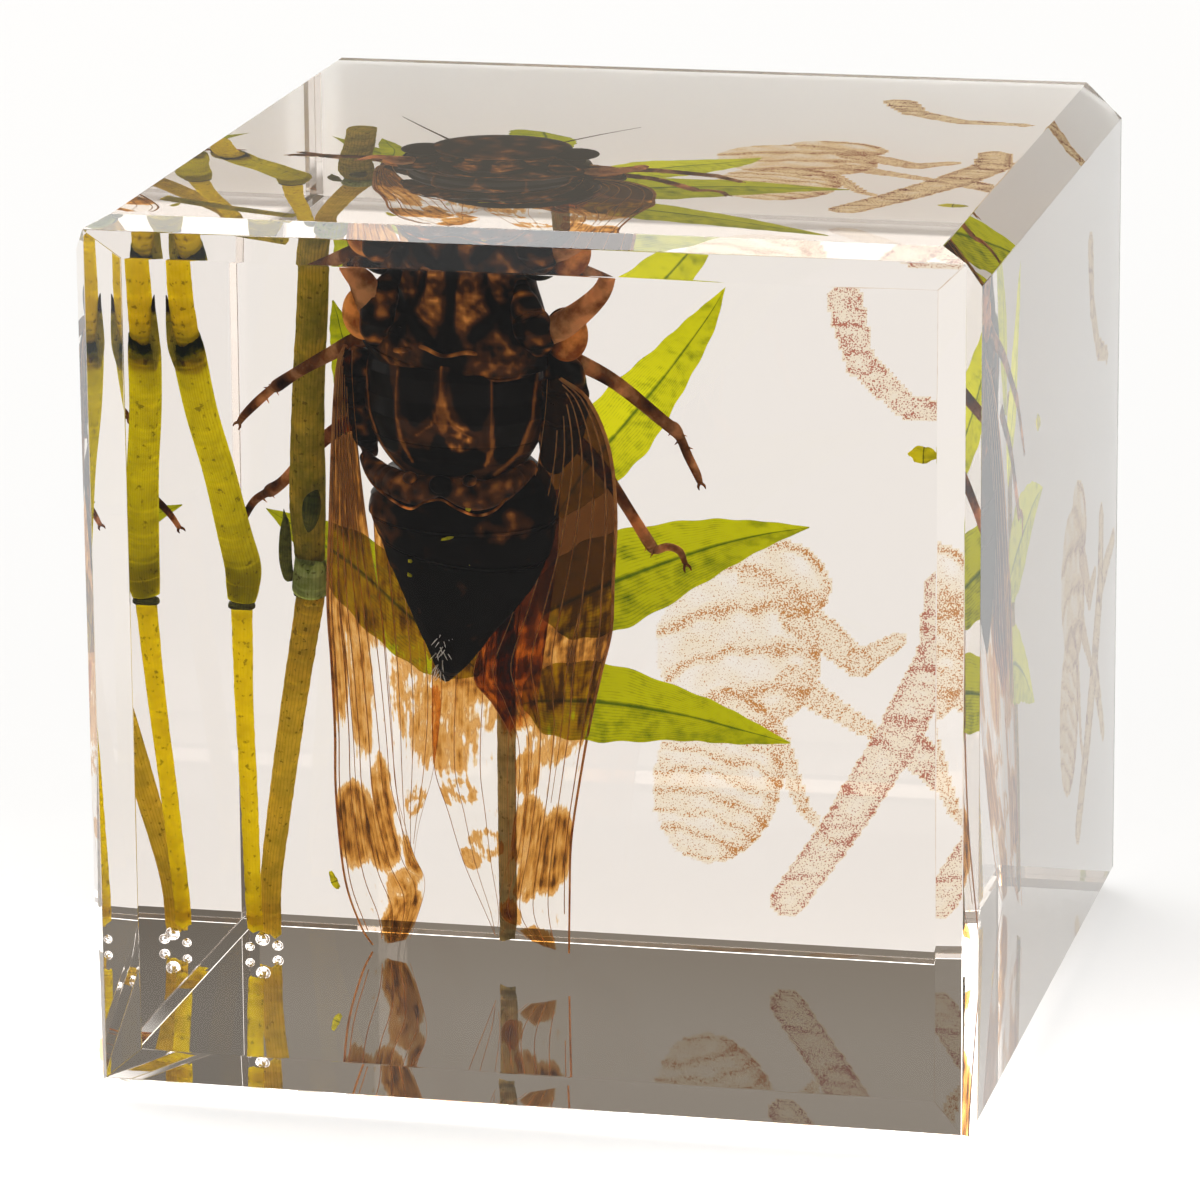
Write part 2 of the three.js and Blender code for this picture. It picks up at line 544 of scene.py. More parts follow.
def grow_tube(bm, path, sides=20, squash=1.0):
    """Draw a ring along a path by extruding it from point to point; w is its radius."""
    along = bm.verts.layers.float.get("along") or bm.verts.layers.float.new("along")
    across = bm.verts.layers.float.get("across") or bm.verts.layers.float.new("across")
    place = ring_place(path, 0, squash)
    ring = bmesh.ops.create_circle(bm, cap_ends=True, segments=sides, radius=1, matrix=place)["verts"]
    faces = list(ring[0].link_faces)
    for vert in ring:
        vert[across] = (place.inverted() @ vert.co).x
    for index in range(1, len(path)):
        grown = bmesh.ops.extrude_face_region(bm, geom=faces)["geom"]
        ring = [part for part in grown if isinstance(part, bmesh.types.BMVert)]
        faces = [part for part in grown if isinstance(part, bmesh.types.BMFace)]
        next_place = ring_place(path, index, squash)
        bmesh.ops.transform(bm, matrix=next_place @ place.inverted(), verts=ring)
        for vert in ring:
            vert[along] = index / (len(path) - 1)
            vert[across] = (next_place.inverted() @ vert.co).x
        place = next_place


def tube(points, steps, sides, squash=1.0):
    """A new bmesh with one tube along the smooth curve through the points."""
    bm = bmesh.new()
    grow_tube(bm, smooth_path(points, steps), sides, squash)
    return bm


def new_group(name, inputs, outputs):
    """A node group with its sockets, and the nodes that hold its inputs and outputs."""
    group = bpy.data.node_groups.new(name, "ShaderNodeTree")
    for socket, kind in inputs.items():
        group.interface.new_socket(socket, in_out="INPUT", socket_type="NodeSocket" + kind)
    for socket in outputs:
        group.interface.new_socket(socket, in_out="OUTPUT", socket_type="NodeSocketFloat")
    return group, add_node(group, "NodeGroupInput"), add_node(group, "NodeGroupOutput")


def fibre_group():
    """Long fine fibres with lighter and darker strands, larger soft blotches, and small specks."""
    group, given, result = new_group("plant fibres", {"Fineness": "Float", "Stretch": "Vector"},
                                     ("Strand", "Blotch", "Speck"))
    place = object_place(group)
    stretched = vector_maths(group, "MULTIPLY", place, given.outputs["Stretch"])
    grains = clouds(group, place, 3000.0, 2.0)
    group.links.new(clouds(group, stretched, given.outputs["Fineness"], 3.0), result.inputs["Strand"])
    group.links.new(clouds(group, place, 700.0, 4.0, 0.65), result.inputs["Blotch"])
    group.links.new(remap(group, grains, (0.62, 0.70)), result.inputs["Speck"])
    return group


def line_group():
    """Thin parallel lines that count up across a blade or a stem and waver a little."""
    group, given, result = new_group(
        "parallel veins", {"Position": "Float", "Count": "Float", "Waver": "Float"}, ("Line",))
    drift = clouds(group, object_place(group), 300.0, 1.0)
    swing = maths(group, "MULTIPLY_ADD", drift, given.outputs["Waver"], given.outputs["Position"])
    phase = maths(group, "FRACT", maths(group, "MULTIPLY", swing, given.outputs["Count"]))
    gap = maths(group, "ABSOLUTE", maths(group, "SUBTRACT", phase, 0.5))
    group.links.new(remap(group, gap, (0.04, 0.22), (1.0, 0.0)), result.inputs["Line"])
    return group


plant_fibres = fibre_group()
parallel_veins = line_group()


def fibre_masks(tree, fineness, stretch):
    """The strands, blotches and specks of a plant."""
    return add_node(tree, "ShaderNodeGroup", {"Fineness": fineness, "Stretch": stretch},
                    node_tree=plant_fibres).outputs


def vein_lines(tree, position, count, waver):
    """The fine parallel veins of a plant."""
    return add_node(tree, "ShaderNodeGroup", {"Position": position, "Count": count, "Waver": waver},
                    node_tree=parallel_veins).outputs["Line"]


def lit_skin(tree, colour, roughness, glow, relief, relief_strength, relief_depth):
    """A fine-grained surface of which a share, glow, lets the light come through from behind."""
    bump = add_node(tree, "ShaderNodeBump", {
        "Height": relief, "Strength": relief_strength, "Distance": relief_depth})
    surface = add_node(tree, "ShaderNodeBsdfPrincipled", {
        "Base Color": colour, "Roughness": roughness, "IOR": sealed_ior, "Normal": bump.outputs["Normal"]})
    through = add_node(tree, "ShaderNodeBsdfTranslucent", {"Color": colour})
    return mix_shader(tree, glow, surface.outputs["BSDF"], through.outputs["BSDF"])


def stem_material(name, dark, pale, vein, glow, veins=5.0, torn=(0.0, 0.0), sheer=0.0,
                  tear_colour=(0.07, 0.05, 0.015, 1)):
    """Bamboo skin: veins and fibres along it, blotches, a dark torn end, light coming through."""
    material, tree, output = new_material(name)
    fibres = fibre_masks(tree, 5200, (1, 1, 0.04))
    line = vein_lines(tree, attribute(tree, "across"), veins, 0.25)
    strand = remap(tree, fibres["Strand"], (0.35, 0.65), (0.0, 0.35))
    blotch = remap(tree, fibres["Blotch"], (0.40, 0.62), (0.0, 0.75))
    colour = mix_colour(tree, maths(tree, "ADD", strand, blotch), dark, pale)
    colour = mix_colour(tree, maths(tree, "MULTIPLY", line, 0.45), colour, vein)
    tear_place, tear_spread = torn
    if tear_spread:
        tear = maths(tree, "MULTIPLY_ADD", fibres["Blotch"], tear_spread, attribute(tree, "along"))
        whole = remap(tree, tear, (tear_place + tear_spread * 0.4, tear_place + tear_spread * 0.6))
        colour = mix_colour(tree, whole, tear_colour, colour)
    colour = mix_colour(tree, maths(tree, "MULTIPLY", fibres["Speck"], 0.6), colour, speck_colour)
    skin = lit_skin(tree, colour, 0.45, glow, line, 0.3, 0.08 * MM)
    thin = add_node(tree, "ShaderNodeBsdfTransparent", {"Color": colour})
    tree.links.new(mix_shader(tree, sheer, skin, thin.outputs["BSDF"]), output.inputs["Surface"])
    return material


yellow_stem = stem_material("yellow bamboo", (0.86, 0.76, 0.02, 1), (1.0, 0.90, 0.04, 1), (0.84, 0.76, 0.01, 1),
                            1.0, veins=3.0, sheer=0.45)
yellow_sheath = stem_material("dried sheath", (0.80, 0.76, 0.006, 1), (1.0, 0.95, 0.03, 1),
                              (0.56, 0.52, 0.002, 1), 1.0, veins=7.0, torn=(0.04, 0.55), sheer=0.55,
                              tear_colour=(0.24, 0.32, 0.006, 1))
torn_tongue = stem_material("torn sheath tongue", (0.40, 0.36, 0.03, 1), (0.80, 0.66, 0.06, 1),
                            (0.2, 0.2, 0.01, 1), 0.85, veins=3.0, torn=(0.14, 0.3))
olive_stem = stem_material("olive bamboo", (0.42, 0.40, 0.06, 1), (0.86, 0.70, 0.13, 1), (0.34, 0.30, 0.05, 1),
                           0.9, veins=5.0)
gold_stem = stem_material("golden bamboo", (0.72, 0.62, 0.12, 1), (0.98, 0.82, 0.20, 1), (0.52, 0.45, 0.08, 1),
                          0.95, veins=4.0)
dark_stem = stem_material("dark bamboo", (0.40, 0.33, 0.16, 1), (0.72, 0.56, 0.26, 1), (0.28, 0.25, 0.10, 1),
                          0.8, veins=4.0)
green_sheath = stem_material("dark sheath", (0.06, 0.08, 0.01, 1), (0.25, 0.24, 0.04, 1), (0.04, 0.05, 0.01, 1),
                             0.6, veins=3.0)
pale_sheath = stem_material("pale green sheath", (0.50, 0.58, 0.20, 1), (0.86, 0.90, 0.42, 1),
                            (0.45, 0.50, 0.16, 1), 0.85, veins=5.0)
node_bark = stem_material("dark node ring", (0.010, 0.010, 0.004, 1), (0.07, 0.07, 0.015, 1),
                          (0.01, 0.01, 0.004, 1), 0.1)
stem_skins = {
    "stem_left_upper": yellow_stem,
    "stem_left_lower": yellow_stem,
    "stem_middle_upper": olive_stem,
    "stem_middle_lower": gold_stem,
    "stem_behind_wings": dark_stem,
    "stem_offcut": olive_stem,
    "sheath_left": yellow_sheath,
    "sheath_left_tongue": torn_tongue,
    "sheath_middle_flap": green_sheath,
    "sheath_middle_collar": pale_sheath,
}
for stem_name, stem_points in stem_paths.items():
    stem = tube(stem_points, 14, 32)
    along_layer = stem.verts.layers.float["along"]
    for vert in stem.verts:
        fray = noise.noise(vert.co * 2.3)
        if vert[along_layer] in (0.0, 1.0):
            vert.co.z += 0.35 * fray
        else:
            vert.co += 0.03 * fray * Vector((1, 1, 0))
    finish_piece(stem_name, stem, stem_skins[stem_name])

for sheath_name, (sheath_points, flatness) in sheath_paths.items():
    sheath = tube(sheath_points, 12, 40, flatness)
    along_layer = sheath.verts.layers.float["along"]
    for vert in sheath.verts:
        ragged = noise.noise(Vector((vert.co.x * 3.1, vert.co.y * 3.1, 4.0)))
        vert.co.z += 0.9 * ragged * max(0.0, 1 - vert[along_layer] * 14)
    finish_piece(sheath_name, sheath, stem_skins[sheath_name])

node_rings = {
    "node_ring_left": (Vector((-19.9, 8.8, 20.2)), 0.74),
    "node_ring_middle": (Vector((-16.2, 8.95, 21.0)), 0.90),
}
ring_profile = ((-0.22, 0.80), (-0.12, 0.98), (0.0, 1.0), (0.12, 0.94), (0.2, 0.78))
for ring_name, (ring_middle, ring_radius) in node_rings.items():
    node_ring = bmesh.new()
    grow_tube(node_ring, [Vector((ring_middle.x, ring_middle.y, ring_middle.z + rise, ring_radius * swell))
                          for rise, swell in ring_profile], sides=28)
    for vert in node_ring.verts:
        vert.co.z += 0.10 * noise.noise(vert.co * 2.0)
    finish_piece(ring_name, node_ring, node_bark)

bud = tube(((-15.5, 6.75, 27.2, 0.10), (-15.55, 6.55, 26.6, 0.42), (-15.65, 6.55, 25.8, 0.50),
            (-15.8, 6.8, 25.0, 0.30), (-15.9, 7.0, 24.6, 0.06)), 8, 24, 0.6)
finish_piece("bud_middle_stem", bud, green_sheath)


# ------------------------------------------------------------------ leaves
# Bamboo leaves cut and set between the insect and the back face: thin blades
# with a darker midrib and fine parallel veins, lit through from behind.
leaf_spines = {
    "leaf_upper_right": ((-2.8, 8.4, 25.9, 0.3), (-1.4, 7.7, 28.2, 1.5), (0.9, 7.0, 31.0, 1.9),
        (3.4, 5.5, 34.1, 1.35), (5.4, 4.3, 36.8, 0.75), (6.7, 3.5, 38.9, 0.03)),
    "leaf_middle_right": ((-4.0, 10.1, 20.2, 0.3), (-3.0, 9.9, 20.8, 1.9), (0.0, 9.5, 22.3, 2.5),
        (4.6, 8.7, 24.3, 1.65), (7.9, 8.0, 25.4, 0.75), (10.5, 7.5, 26.0, 0.03)),
    "leaf_lower_right": ((-5.2, 11.0, 15.2, 0.3), (-4.0, 10.6, 15.5, 1.7), (-0.6, 9.5, 15.8, 2.1),
        (3.9, 8.0, 15.6, 1.35), (6.9, 7.0, 15.2, 0.8), (9.7, 6.0, 14.8, 0.03)),
    "leaf_behind_abdomen": ((-7.6, 12.0, 16.6, 0.3), (-8.9, 12.1, 17.6, 1.7), (-11.5, 12.5, 19.4, 2.1),
        (-14.9, 14.0, 21.8, 1.8), (-18.0, 16.0, 23.2, 0.75), (-20.2, 18.0, 23.9, 0.03)),
    "leaf_behind_thorax": ((-5.6, 6.5, 41.0, 0.6), (-5.9, 8.0, 39.0, 1.7), (-6.2, 9.6, 36.0, 2.0),
        (-6.4, 10.4, 32.0, 1.5), (-6.4, 10.8, 29.0, 0.5)),
    "leaf_beside_head": ((-14.3, 6.6, 37.0, 0.05), (-14.0, 6.4, 36.0, 0.45), (-13.6, 6.2, 34.4, 0.80),
        (-13.6, 6.2, 32.4, 0.60), (-13.9, 6.4, 31.0, 0.1)),
}


def sheet(columns, rows, layers=()):
    """A flat grid with its own UV map, and how far each point lies across and along it."""
    bm = bmesh.new()
    uv_layer = bm.loops.layers.uv.new("UVMap")
    for layer in layers:
        bm.verts.layers.float.new(layer)
    grid = bmesh.ops.create_grid(bm, x_segments=columns, y_segments=rows, size=1)["verts"]
    place = {vert: ((vert.co.x + 1) / 2, (vert.co.y + 1) / 2) for vert in grid}
    for face in bm.faces:
        for loop in face.loops:
            loop[uv_layer].uv = place[loop.vert]
    return bm, place


def leaf_sheet(spine, facing, keel, columns=20, steps=16):
    """A thin blade laid along its midrib; w is half its width, keel folds it along the rib."""
    path = smooth_path(spine, steps)
    rows = len(path) - 1
    bm, place = sheet(columns, rows)
    for vert, (across, along) in place.items():
        index = round(along * rows)
        forward = (path[min(index + 1, rows)].xyz - path[max(index - 1, 0)].xyz).normalized()
        side = forward.cross(facing).normalized()
        outward = side.cross(forward).normalized()
        share = across * 2 - 1
        width = max(path[index].w, 0.01) * (1 + 0.03 * math.sin(along * 61 + share * 2))
        ripple = 0.05 * math.sin(along * 17 + across * 3)
        vert.co = path[index].xyz + side * share * width + outward * (abs(share) * keel * width + ripple)
    return bm


def leaf_material(name, dark, pale):
    """Leaf blade: fine parallel veins across its width, darker midrib, light coming through, and one half
    painted lighter and the other darker as light and shade on the fold.
    """
    material, tree, output = new_material(name)
    across = split(tree, uv_place(tree))[0]
    line = vein_lines(tree, across, 26.0, 0.03)
    rib_distance = maths(tree, "ABSOLUTE", maths(tree, "SUBTRACT", across, 0.5))
    rib = remap(tree, rib_distance, (0.012, 0.04), (0.42, 1.0))
    fibres = fibre_masks(tree, 2600, (0.35, 1, 1))
    tone = maths(tree, "ADD", fibres["Blotch"], fibres["Strand"])
    tone = maths(tree, "MULTIPLY", maths(tree, "MULTIPLY_ADD", line, -0.26, tone), rib)
    # Painted light and shade: one half of the blade is lighter and the other darker, for the two sides of the
    # fold.
    tone = maths(tree, "MULTIPLY", tone, remap(tree, across, (0.46, 0.56), (1.08, 0.90)))
    colour = ramp_colour(tree, tone, ((0.35, dark), (0.98, pale)))
    tree.links.new(lit_skin(tree, colour, 0.4, 0.9, line, 0.35, 0.05 * MM), output.inputs["Surface"])
    return material


bright_leaf = leaf_material("bright bamboo leaf", (0.08, 0.13, 0.001, 1), (0.52, 0.53, 0.004, 1))
green_leaf = leaf_material("bamboo leaf", (0.055, 0.095, 0.0004, 1), (0.37, 0.385, 0.0006, 1))
for leaf_name, leaf_spine in leaf_spines.items():
    leaf = leaf_sheet(leaf_spine, Vector((-0.2, -1.0, 0.15)), 0.16)
    finish_piece(leaf_name, leaf, bright_leaf if leaf_name == "leaf_upper_right" else green_leaf, recalc=False)


# ------------------------------------------------------------- insect body
# A broad cicada, back to the front and head up: a horny shell of brown and
# black plates. It was dried with its legs spread and its wings half folded.
def dome(middle, half_size, rings=40, segments=64):
    """A closed rounded shell, drawn as a sphere and pulled to size."""
    bm = bmesh.new()
    bmesh.ops.create_uvsphere(bm, u_segments=segments, v_segments=rings, radius=1)
    bmesh.ops.scale(bm, vec=half_size, verts=bm.verts)
    bmesh.ops.translate(bm, vec=middle, verts=bm.verts)
    return bm


def shell_material(name, glow, palest=(0.80, 0.33, 0.06, 1)):
    """Horny shell: amber to brown to black by the painted marking, fine grain, a waxy gloss."""
    material, tree, output = new_material(name)
    grain = clouds(tree, object_place(tree), 1100.0, 3.0, 0.6)
    edge = maths(tree, "MULTIPLY_ADD", maths(tree, "SUBTRACT", grain, 0.5), 0.55, attribute(tree, "marking"))
    colour = ramp_colour(tree, edge, (
        (0.05, palest), (0.26, (0.30, 0.105, 0.018, 1)), (0.50, (0.060, 0.019, 0.004, 1)),
        (0.78, (0.002, 0.0014, 0.001, 1))))
    tree.links.new(lit_skin(tree, colour, 0.35, glow, grain, 0.3, 0.08 * MM), output.inputs["Surface"])
    return material


def paint(bm, rule):
    """Store how dark each point is, 0 amber to 1 black, by a rule on its place."""
    layer = bm.verts.layers.float.new("marking")
    for vert in bm.verts:
        vert[layer] = rule(vert.co)


def oval(point, x, z, half_x, half_z):
    """1 inside an upright oval seen from the front, falling to 0 just outside it."""
    reach = math.hypot((point.x - x) / half_x, (point.z - z) / half_z)
    return clamp((1.25 - reach) / 0.5)


def on_lines(point, lines, sharpness=3.0):
    """1 on any of the tapering lines seen from the front, falling to 0 past their rims."""
    nearest = min(limb_reach(point.x, point.z, limb) for line in lines for limb in zip(line, line[1:]))
    return clamp(0.5 + (1 - nearest) * sharpness / 2)


def blend(value, target, share):
    """Move a value toward a target by a share."""
    return value + (target - value) * share


body_shell = shell_material("body shell", 0.12)
amber_shell = shell_material("amber shell", 0.75, palest=(0.95, 0.50, 0.14, 1))

head = dome(Vector((-6.7, 2.0, 41.0)), Vector((3.7, 2.9, 1.9)))
paint(head, lambda p: 0.72 + 0.55 * noise.noise(p * 1.1) - 0.25 * oval(p, -6.7, 40.6, 0.8, 0.7))
finish_piece("cicada_head", head, body_shell)
for eye_name, eye_x in (("cicada_eye_left", -10.7), ("cicada_eye_right", -2.6)):
    eye = dome(Vector((eye_x, 1.4, 40.4)), Vector((1.2, 1.25, 1.2)), 20, 28)
    paint(eye, lambda p: 0.9)
    finish_piece(eye_name, eye, body_shell)

# The first plate behind the head, furrowed, with a median stripe and a raised hind rim.
pronotum_line = ((-6.75, 2.4, 40.9, 3.3), (-6.75, 2.4, 40.1, 3.7), (-6.8, 2.4, 38.8, 4.0),
                 (-6.85, 2.4, 37.4, 4.5), (-7.0, 2.5, 36.4, 5.0), (-7.15, 2.6, 35.7, 5.1),
                 (-7.2, 2.8, 35.2, 4.3))
pronotum_stripe = (((-6.75, 41.0, 0.50), (-6.85, 38.6, 0.22), (-6.9, 37.2, 0.20), (-7.0, 36.3, 0.55),
                    (-7.1, 35.6, 1.30)),)
pronotum_furrows = (
    ((-8.2, 40.2, 0.10), (-8.5, 38.6, 0.20), (-9.4, 37.2, 0.30), (-9.8, 36.2, 0.40)),
    ((-10.2, 38.7, 0.20), (-9.3, 37.6, 0.34), (-8.3, 36.6, 0.42), (-8.0, 36.2, 0.30)),
    ((-5.3, 40.2, 0.10), (-5.0, 38.6, 0.20), (-4.4, 37.4, 0.34), (-3.6, 36.4, 0.40)),
    ((-3.2, 38.6, 0.20), (-4.2, 37.8, 0.34), (-5.4, 36.8, 0.50), (-5.7, 36.4, 0.30)),
)
pronotum = tube(pronotum_line, 12, 180, 0.76)
for vert in pronotum.verts:
    groove = on_lines(vert.co, pronotum_furrows, 1.4)
    stripe = on_lines(vert.co, pronotum_stripe, 1.0)
    if vert.co.y < 2.4:
        vert.co.y += 0.35 * groove + 0.25 * stripe + 0.25 * noise.noise(vert.co * 0.9)


def pronotum_mark(p):
    """How dark the first plate is: brown speckles, darker furrows, stripe and sides."""
    speckle = 0.30 * noise.noise(p * 3.1) + 0.25 * noise.noise(p * 1.3)
    tone = 0.55 + speckle - 0.17 * oval(p, -7.9, 38.6, 0.7, 1.6) - 0.20 * oval(p, -5.8, 38.0, 0.7, 1.5)
    tone = blend(tone, 0.85, on_lines(p, pronotum_furrows, 2.0))
    tone = blend(tone, 0.95, on_lines(p, pronotum_stripe))
    return blend(tone, 0.92, clamp((abs(p.x + 6.9) - 3.4) / 1.2))


paint(pronotum, pronotum_mark)
finish_piece("cicada_pronotum", pronotum, body_shell)
pronotum_rim = tube((
    (-12.0, 2.0, 35.9, 0.10), (-11.0, 0.8, 35.5, 0.17), (-9.6, -0.6, 35.6, 0.15), (-8.4, -1.05, 35.9, 0.12),
    (-7.2, -1.2, 35.5, 0.10), (-5.9, -1.05, 35.7, 0.12), (-4.6, -0.6, 35.4, 0.15), (-3.3, 0.6, 35.3, 0.17),
    (-2.3, 2.0, 35.7, 0.10)), 10, 14)
paint(pronotum_rim, lambda p: 0.42 + 0.5 * noise.noise(p * 1.6))
finish_piece("cicada_pronotum_rim", pronotum_rim, body_shell)

# The side lobes of the collar are thin and lit through from behind.
for lobe_name, lobe_x, lobe_z in (("cicada_collar_left", -11.6, 37.3), ("cicada_collar_right", -1.1, 36.6)):
    lobe = dome(Vector((lobe_x, 0.6, lobe_z)), Vector((1.15, 0.7, 1.4)), 24, 32)
    inward = 1 if lobe_x < -6 else -1
    paint(lobe, lambda p: 0.14 + 0.25 * noise.noise(p * 1.2) + 0.42 * max(0.0, (p.x - lobe_x) * inward))
    finish_piece(lobe_name, lobe, amber_shell)

# The broad middle plate, black cones on brown with thin pale lines between them,
# and a flecked patch of painted amber glow low in its middle.
mesonotum_line = ((-7.2, 3.4, 35.6, 3.7), (-7.2, 3.4, 35.0, 4.5), (-7.25, 3.4, 33.6, 4.8),
                  (-7.3, 3.5, 31.8, 4.7), (-7.35, 3.6, 30.3, 4.1), (-7.4, 3.8, 29.3, 3.2),
                  (-7.4, 4.0, 28.6, 2.0))
mesonotum_cones = (
    ((-8.6, 35.4, 0.98), (-8.75, 32.8, 0.76), (-8.85, 32.0, 0.25)),
    ((-5.9, 35.4, 1.02), (-5.75, 33.0, 0.86), (-5.65, 31.9, 0.30)),
    ((-11.0, 35.2, 0.60), (-10.75, 32.4, 0.80), (-10.3, 30.5, 0.40)),
    ((-3.75, 35.2, 0.90), (-3.85, 32.6, 0.86), (-4.35, 30.2, 0.46)),
    ((-9.2, 30.0, 0.50), (-7.5, 29.6, 0.72), (-5.7, 30.0, 0.50)),
    ((-7.5, 31.0, 0.30), (-7.5, 29.8, 0.80)),
)
mesonotum_lines = (
    ((-9.75, 34.8, 0.05), (-9.80, 32.2, 0.08), (-9.65, 30.9, 0.16), (-9.1, 29.7, 0.10)),
    ((-4.75, 34.8, 0.05), (-4.78, 32.2, 0.08), (-4.85, 30.7, 0.16), (-5.3, 29.7, 0.10)),
    ((-7.30, 34.9, 0.08), (-7.32, 33.4, 0.12), (-7.85, 31.9, 0.08), (-8.8, 31.2, 0.05)),
    ((-7.32, 33.4, 0.12), (-6.80, 31.9, 0.08), (-5.8, 31.2, 0.05)),
    ((-11.8, 34.6, 0.07), (-11.5, 32.0, 0.08), (-10.9, 30.2, 0.10), (-9.8, 29.1, 0.12)),
    ((-2.75, 34.6, 0.07), (-3.0, 32.0, 0.08), (-3.7, 30.2, 0.12), (-4.9, 29.1, 0.14)),
)
mesonotum = tube(mesonotum_line, 20, 200, 0.96)


def mesonotum_mark(p):
    """How dark the middle plate is: black cones and thin pale lines on brown, and a flecked patch of painted
    amber glow.
    """
    tone = 0.64 + 0.14 * noise.noise(p * 1.5)
    # Painted glow: a flecked amber patch stands for light shining through the shell.
    painted_glow_flecks = max(0.0, noise.noise(p * 2.6) + 0.25)
    tone = blend(tone, 0.05, oval(p, -6.6, 31.1, 0.75, 0.9) * min(1.0, painted_glow_flecks * 1.6))
    tone = blend(tone, 0.30, 0.7 * oval(p, -7.3, 32.3, 0.3, 1.2))
    tone = blend(tone, 1.0, on_lines(p, mesonotum_cones, 5.0))
    return blend(tone, 0.33, 0.9 * on_lines(p, mesonotum_lines))


paint(mesonotum, mesonotum_mark)
for vert in mesonotum.verts:
    if vert.co.y < 2:
        vert.co.y -= 0.10 * on_lines(vert.co, mesonotum_lines, 1.2) + 0.12 * noise.noise(vert.co * 0.8)
finish_piece("cicada_mesonotum", mesonotum, body_shell)

# The cross-shaped ridge behind it: a knotted bar, a dark pit and a scalloped pale margin.
cross_ridge = tube((
    (-12.0, 2.6, 29.5, 0.35), (-11.2, 1.5, 28.9, 0.60), (-10.2, 0.8, 28.5, 0.72), (-9.0, 0.5, 28.2, 0.80),
    (-7.6, 0.3, 28.5, 0.55), (-6.2, 0.5, 28.1, 0.82), (-5.0, 0.8, 28.2, 0.72), (-4.0, 1.5, 28.8, 0.60),
    (-3.2, 2.6, 29.4, 0.35)), 12, 48)
for vert in cross_ridge.verts:
    vert.co.y += 0.25 * noise.noise(vert.co * 1.4)
paint(cross_ridge, lambda p: blend(0.56 + 0.35 * noise.noise(p * 1.9), 1.0, oval(p, -7.6, 28.5, 0.55, 0.5)))
finish_piece("cicada_cross_ridge", cross_ridge, body_shell)
ridge_margin = tube((
    (-12.1, 2.2, 29.6, 0.05), (-11.6, 1.2, 28.6, 0.07), (-10.6, 0.3, 27.9, 0.07), (-9.3, -0.1, 27.3, 0.07),
    (-8.4, -0.2, 27.7, 0.06), (-7.5, -0.3, 27.85, 0.06), (-6.7, -0.2, 27.4, 0.06), (-5.7, -0.1, 27.1, 0.07),
    (-4.8, 0.2, 27.4, 0.07), (-4.0, 0.9, 28.3, 0.06), (-3.2, 2.2, 29.3, 0.05)), 10, 10)
paint(ridge_margin, lambda p: 0.22 + 0.4 * noise.noise(p * 2.0))
finish_piece("cicada_ridge_margin", ridge_margin, amber_shell)
pits = {
    "cicada_ridge_pit": (-7.6, 28.6, 0.62),
    "cicada_ridge_knob_left": (-9.2, 28.9, 0.4),
    "cicada_ridge_knob_right": (-6.1, 28.9, 0.4),
}
for pit_name, (pit_x, pit_z, pit_size) in pits.items():
    pit = dome(Vector((pit_x, 0.0, pit_z)), Vector((pit_size, 0.45, pit_size * 0.8)), 16, 24)
    paint(pit, lambda p: 1.0 if pit_size > 0.5 else 0.62 + 0.4 * noise.noise(p * 2))
    finish_piece(pit_name, pit, body_shell)

# Dark blocks of muscle and hinge plates between the body and the wing roots.
hinges = {
    "cicada_hinge_left": ((-12.1, 2.6, 35.2, 0.55), (-12.5, 2.6, 34.0, 0.85), (-12.4, 3.2, 32.2, 0.75),
        (-12.2, 3.8, 30.6, 0.70), (-12.1, 4.2, 29.3, 0.35)),
    "cicada_hinge_right": ((-2.2, 2.2, 35.4, 0.60), (-1.5, 2.2, 34.2, 1.10), (-1.6, 2.8, 32.4, 1.25),
        (-2.0, 3.4, 30.6, 1.10), (-2.4, 4.2, 29.0, 0.50)),
    "cicada_coxa_left": ((-9.9, 0.6, 39.6, 0.30), (-10.5, -0.2, 38.3, 0.80), (-10.9, -0.2, 36.9, 0.90),
        (-11.0, 0.5, 35.8, 0.50)),
    "cicada_coxa_right": ((-3.4, 0.6, 39.2, 0.30), (-3.0, -0.2, 37.9, 0.85), (-2.6, -0.2, 36.7, 0.95),
        (-2.4, 0.5, 35.7, 0.50)),
}
for hinge_name, hinge_points in hinges.items():
    hinge = tube(hinge_points, 12, 48, 0.8)
    for vert in hinge.verts:
        vert.co += 0.22 * noise.noise(vert.co * 1.5) * Vector((1, -1, 0))
    paint(hinge, lambda p: 0.72 + 0.75 * noise.noise(p * 1.6))
    finish_piece(hinge_name, hinge, body_shell)

# The abdomen tapers in overlapping rings to a narrow tip with a tuft of pale hairs.
abdomen_line = ((-7.5, 4.2, 29.2, 3.8), (-7.3, 4.4, 27.8, 4.8), (-7.2, 4.6, 26.4, 4.95), (-7.3, 5.0, 24.8, 4.5),
                (-7.6, 5.6, 22.9, 3.7), (-8.0, 6.3, 20.8, 2.5), (-8.3, 6.9, 19.0, 1.5), (-8.6, 7.4, 17.7, 0.75),
                (-8.8, 7.7, 16.9, 0.20))
abdomen = bmesh.new()
abdomen_path = smooth_path(abdomen_line, 14)
for index, point in enumerate(abdomen_path):
    point.w *= 1 + 0.016 * (index % 14) / 13
grow_tube(abdomen, abdomen_path, sides=120, squash=0.70)


def abdomen_mark(p):
    """How dark the abdomen is: nearly black, with three ragged brown flushes."""
    tone = 0.90 + 0.2 * noise.noise(p * 0.8)
    flush = max(oval(p, -11.2, 26.2, 1.0, 1.6), 0.85 * oval(p, -4.6, 26.3, 1.6, 1.0),
                0.6 * oval(p, -10.9, 23.2, 0.5, 0.5))
    return blend(tone, 0.42, flush * (0.62 + 0.9 * noise.noise(p * 1.8)))


paint(abdomen, abdomen_mark)
finish_piece("cicada_abdomen", abdomen, body_shell)

